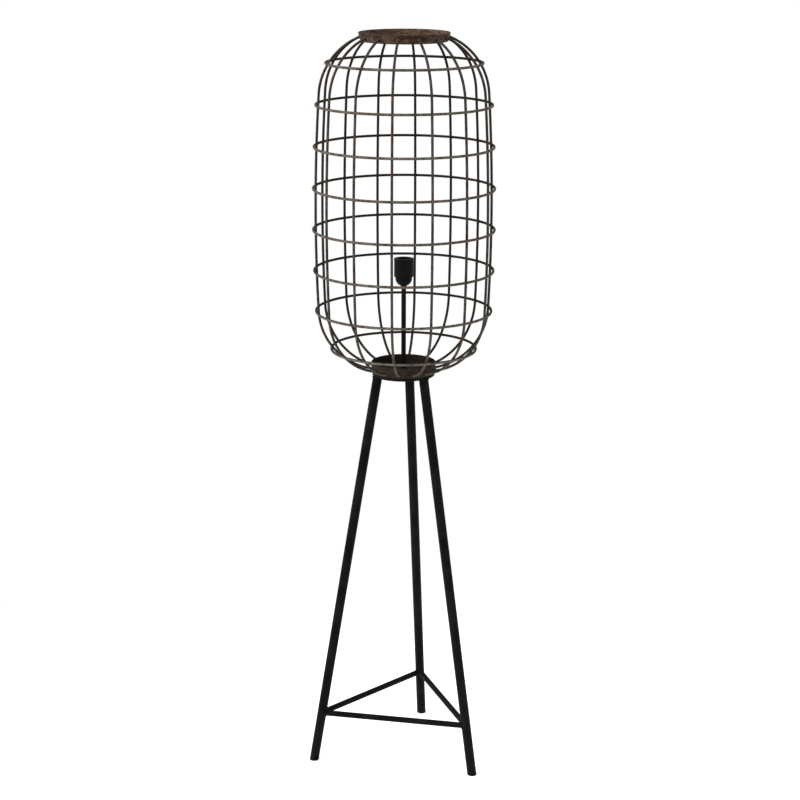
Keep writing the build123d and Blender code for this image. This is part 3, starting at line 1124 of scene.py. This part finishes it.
def makeNut(name, node):
    bottom, _ = heightSpan(node)
    top = bottom + nut["thickness"]
    bore, bevel, faceRadius = nut["bore"], nut["boreBevel"], nut["bevelFrom"]
    lean = tan(radians(nut["bevelLean"]))
    columns = []
    for i in range(nut["sides"]):
        angle = 360.0 * i / nut["sides"]
        flat = (angle + 30.0) % 60.0 - 30.0  # from the middle of the nearest of six flats
        corner = nut["across"] / 2.0 / cos(radians(flat))
        slope = max(corner - nut["bevelLate"] - faceRadius, 0.0) * lean
        outer = corner - nut["inset"]
        spans = (
            (bore, bottom + bevel),
            (bore + bevel, bottom),
            (faceRadius, bottom),
            (outer, bottom + slope),
            (outer, top - slope),
            (faceRadius, top),
            (bore + bevel, top),
            (bore, top - bevel),
        )
        columns.append([polar(radius, angle, z) for radius, z in spans])
    nutForm = skinnedObject(name, list(zip(*columns)), wrap=True)
    finishPiece(nutForm, stemBlack, [node], crease=24.0)


def makeWasher(name, node):
    bottom, _ = heightSpan(node)
    top = bottom + washer["thickness"]
    outer, bore, boreEdge = washer["radius"], washer["bore"], washer["boreEdge"]
    section = [
        (bore, bottom, boreEdge),
        (outer, bottom, washer["lowEdge"]),
        (outer, top, washer["topEdge"]),
        (bore, top, boreEdge),
    ]
    ring = turned(name, roundOff(section, steps=3), sides=96)
    finishPiece(ring, stemBlack, [node])


makeStem()
makeNut("lowerNut", "lower_nut")
makeNut("upperNut", "upper_nut")
makeWasher("lowerWasher", "lower_washer")
makeWasher("upperWasher", "upper_washer")
print("stem clamped")

dome = {
    "bottom": 1048.0,
    "top": 1068.5,
    "radius": 17.7,
    "neckRadius": 6.5,
    "neckBevel": (0.5, 0.4),  # inwards, up
    "middle": 1065.0,
    "rise": 17.0,
    "steps": 18,
    "stemHole": 5.1,
    "stemTop": 1056.0,
    "wireRoom": 12.5,
    "coreSeat": 1062.5,
    "coreRoom": 15.1,
}

skirt = {
    "radius": 20.6,
    "top": 1107.5,
    "lowInset": 0.25,
    "lowEdge": 1.1,
    "grooveInset": 0.8,
    "groove": (4.8, 5.1, 5.9, 6.2),  # its edges and floor, down from the top
    "grooveEdge": 0.2,
    "beadEdge": 0.3,
    "topEdge": 1.0,
    "mouthWider": 0.6,  # than the thread's crests
    "mouthDepth": 0.9,
    "socketBottom": 1085.5,
    "crest": 13.3,
    "threadDepth": 1.05,
    "threadPitch": 3.62,
    "threadStart": 0.5,
    "threadFade": 1.5,
    "threadStep": 0.3,
}

insulator = {
    "radius": 15.0,
    "bottom": 1062.5,
    "top": 1079.5,
    "lowEdge": 0.6,
    "topEdge": 0.8,
    "groove": (14.0, 13.8, 13.4, 13.2),  # radii of its edges and floor
    "grooveDepth": 0.5,
    "grooveEdge": 0.15,
}

screw = {
    "reach": 11.0,  # from the lamp's axis
    "turns": (25.0, -40.0),  # of the two slots
    "radius": 1.5,
    "play": 0.1,
    "tipEdge": 0.3,
    "headRadius": 2.3,
    "headHeight": 1.6,
    "headEdge": 0.15,
    "rimDrop": 0.35,
    "rimRound": 0.4,
    "crownShare": 0.55,  # of the head's radius
    "crownRound": 0.5,
    "slotWidth": 0.7,
    "slotDepth": 0.7,
    "slotReach": 4.0,
}

strip = {
    "width": 5.0,
    "thickness": 0.6,
    "edge": 0.12,
    "length": 6.0,
    "bend": 0.9,
    "bendSteps": 6,
    "upright": 4.5,  # above the insulator
}

tongue = {
    "root": -7.7,  # from the lamp's axis
    "clear": 0.3,  # over the insulator
    "length": 10.5,
    "rise": 14.0,
    "steps": 24,
    "dipFrom": 0.8,  # share of its length where the tip starts to bend down
    "dip": 0.45,
    "knobReach": 7.7,
    "knob": ((0.0, -0.2), (1.3, -0.2), (1.3, 0.05), (1.1, 0.25), (0.7, 0.42), (0.0, 0.5)),
}


def makeHolderCap():
    neck, radius = dome["neckRadius"], dome["radius"]
    bottom, top = dome["bottom"], dome["top"]
    bevelIn, bevelUp = dome["neckBevel"]
    outline = [(neck - bevelIn, bottom), (neck, bottom + bevelUp)]
    first = asin(neck / radius)
    for step in range(dome["steps"] + 1):
        turn = first + (pi / 2.0 - first) * step / dome["steps"]
        outline.append((radius * sin(turn), dome["middle"] - dome["rise"] * cos(turn)))
    core, hole, room = dome["coreRoom"], dome["stemHole"], dome["wireRoom"]
    seat, stemTop = dome["coreSeat"], dome["stemTop"]
    outline += [(radius, top), (core, top), (core, seat), (room, seat), (room, stemTop), (hole, stemTop)]
    outline.append((hole, bottom))
    cap = turned("holderDome", outline, sides=96)
    finishPiece(cap, holderBlack, ["holder_cap"])


def socketThread(r, z, angle):
    # knuckle thread on the wall of the socket
    start, fade = skirt["threadStart"], skirt["threadFade"]
    bottom, top = skirt["socketBottom"], skirt["top"] - skirt["mouthDepth"]
    if abs(r - skirt["crest"]) > 0.01 or not bottom + start < z < top:
        return r
    share = min((z - bottom - start) / fade, (top - z) / fade, 1.0)
    turn = 2.0 * pi * z / skirt["threadPitch"] - angle
    return r + skirt["threadDepth"] * (0.5 - 0.5 * cos(turn)) * share


def makeSkirt():
    radius, bottom, top = skirt["radius"], dome["top"], skirt["top"]
    crest, core, shoulder = skirt["crest"], dome["coreRoom"], skirt["socketBottom"]
    low, waist = radius - skirt["lowInset"], radius - skirt["grooveInset"]
    mouth, edge, step = crest + skirt["mouthWider"], skirt["grooveEdge"], skirt["threadStep"]
    beadLow, grooveTop, grooveLow, lowTop = skirt["groove"]
    z = top - skirt["mouthDepth"]
    outer = [
        (core, bottom, edge),
        (low, bottom, skirt["lowEdge"]),
        (low, top - lowTop, edge),
        (waist, top - grooveLow, edge),
        (waist, top - grooveTop, edge),
        (radius, top - beadLow, skirt["beadEdge"]),
        (radius, top, skirt["topEdge"]),
        (mouth, top, skirt["mouthWider"]),
        (mouth, z, 0.0),
    ]
    outline = roundOff(outer, steps=4)
    while z > shoulder + step:
        outline.append((crest, z))
        z -= step
    outline += [(crest, shoulder), (core, shoulder)]
    shell = turned("holderSkirt", outline, sides=112, thread=socketThread)
    finishPiece(shell, holderBlack, ["holder_skirt"], crease=48.0)


def screwDrill(x, z, length):
    return drill(Vector((x, 0.0, z)), screw["radius"] + screw["play"], length, sides=24)


def makeCore():
    radius, bottom, top = insulator["radius"], insulator["bottom"], insulator["top"]
    floor, edge = top - insulator["grooveDepth"], insulator["grooveEdge"]
    section = [
        (0.0, bottom, 0.0),
        (radius, bottom, insulator["lowEdge"]),
        (radius, top, insulator["topEdge"]),
        *((r, z, edge) for r, z in zip(insulator["groove"], (top, floor, floor, top))),
        (0.0, top, 0.0),
    ]
    block = turned("holderInsulator", roundOff(section, steps=3), sides=96)
    for sign in (-1.0, 1.0):
        carve(block, screwDrill(sign * screw["reach"], (bottom + top) / 2.0, length=20.0))
    finishPiece(block, coreCream, ["holder_core"])


def makeScrews():
    seat = insulator["top"] + strip["thickness"]
    bottom, top = insulator["bottom"], seat + screw["headHeight"]
    shank, head = screw["radius"], screw["headRadius"]
    section = [
        (0.0, bottom, 0.0),
        (shank, bottom, screw["tipEdge"]),
        (shank, seat, 0.0),
        (head, seat, screw["headEdge"]),
        (head, top - screw["rimDrop"], screw["rimRound"]),
        (head * screw["crownShare"], top, screw["crownRound"]),
        (0.0, top, 0.0),
    ]
    slot = boxSection(screw["slotWidth"] / 2.0, screw["slotDepth"])
    both = bmesh.new()
    for sign, turn in zip((-1.0, 1.0), screw["turns"]):
        spot = Vector((sign * screw["reach"], 0.0, 0.0))
        form = turned("screw", roundOff(section, steps=3), sides=48, place=Matrix.Translation(spot * mm))
        along = polar(1.0, turn) * screw["slotReach"]
        middle = spot + upward * top
        side = polar(1.0, turn + 90.0)
        carve(form, sweptObject("slotCutter", [middle - along, middle + along], slot, side))
        both.from_mesh(form.data)
        bpy.data.objects.remove(form)
    finishPiece(meshObject("slottedScrews", both), brass, ["terminal_screws"])


def makeStrip(name, line):
    section = boxSection(strip["width"] / 2.0, strip["thickness"] / 2.0, strip["edge"], steps=2)
    return sweptObject(name, line, section, side=Vector((0.0, 1.0, 0.0)))


def makeFixedStrip(name, node, line, x, z):
    obj = makeStrip(name, line)
    carve(obj, screwDrill(x, z, length=4.0))
    finishPiece(obj, brass, [node])


def makeTongue():
    # the sprung contact under the bulb's tip
    turn, dipFrom = radians(tongue["rise"]), tongue["dipFrom"]
    root = Vector((tongue["root"], 0.0, insulator["top"] + tongue["clear"]))
    along = Vector((cos(turn), 0.0, sin(turn)))
    up = Vector((-sin(turn), 0.0, cos(turn)))
    line = []
    for i in range(tongue["steps"] + 1):
        share = i / tongue["steps"]
        dip = max((share - dipFrom) / (1.0 - dipFrom), 0.0) ** 2 * tongue["dip"]
        line.append(root + along * tongue["length"] * share + up * (strip["thickness"] / 2.0 - dip))
    press = makeStrip("contactTongue", line)
    spot = root + along * tongue["knobReach"] + up * strip["thickness"]
    carve(press, turned("knob", tongue["knob"], sides=32, place=standOn(spot, up)), "UNION")
    finishPiece(press, brass, ["centre_contact"], "contact")


def makeContacts():
    half, bend, steps = strip["thickness"] / 2.0, strip["bend"], strip["bendSteps"]
    middle = insulator["top"] + half
    reach, halfLength = screw["reach"], strip["length"] / 2.0
    line = [Vector((-reach - halfLength, 0.0, middle)), Vector((-reach + halfLength, 0.0, middle))]
    makeFixedStrip("contactFoot", "contact_base", line, -reach, middle)
    makeTongue()
    inner = reach - halfLength
    bendSpot = Vector((inner + half + bend, 0.0, middle + bend))
    line = [Vector((reach + halfLength, 0.0, middle))]
    for step in range(steps + 1):
        angle = radians(270.0 - 90.0 / steps * step)
        line.append(bendSpot + Vector((cos(angle), 0.0, sin(angle))) * bend)
    line.append(Vector((inner + half, 0.0, insulator["top"] + strip["upright"])))
    makeFixedStrip("contactUpright", "side_contact", line, reach, middle)


makeHolderCap()
makeSkirt()
makeCore()
makeScrews()
makeContacts()
print("lampholder fitted")
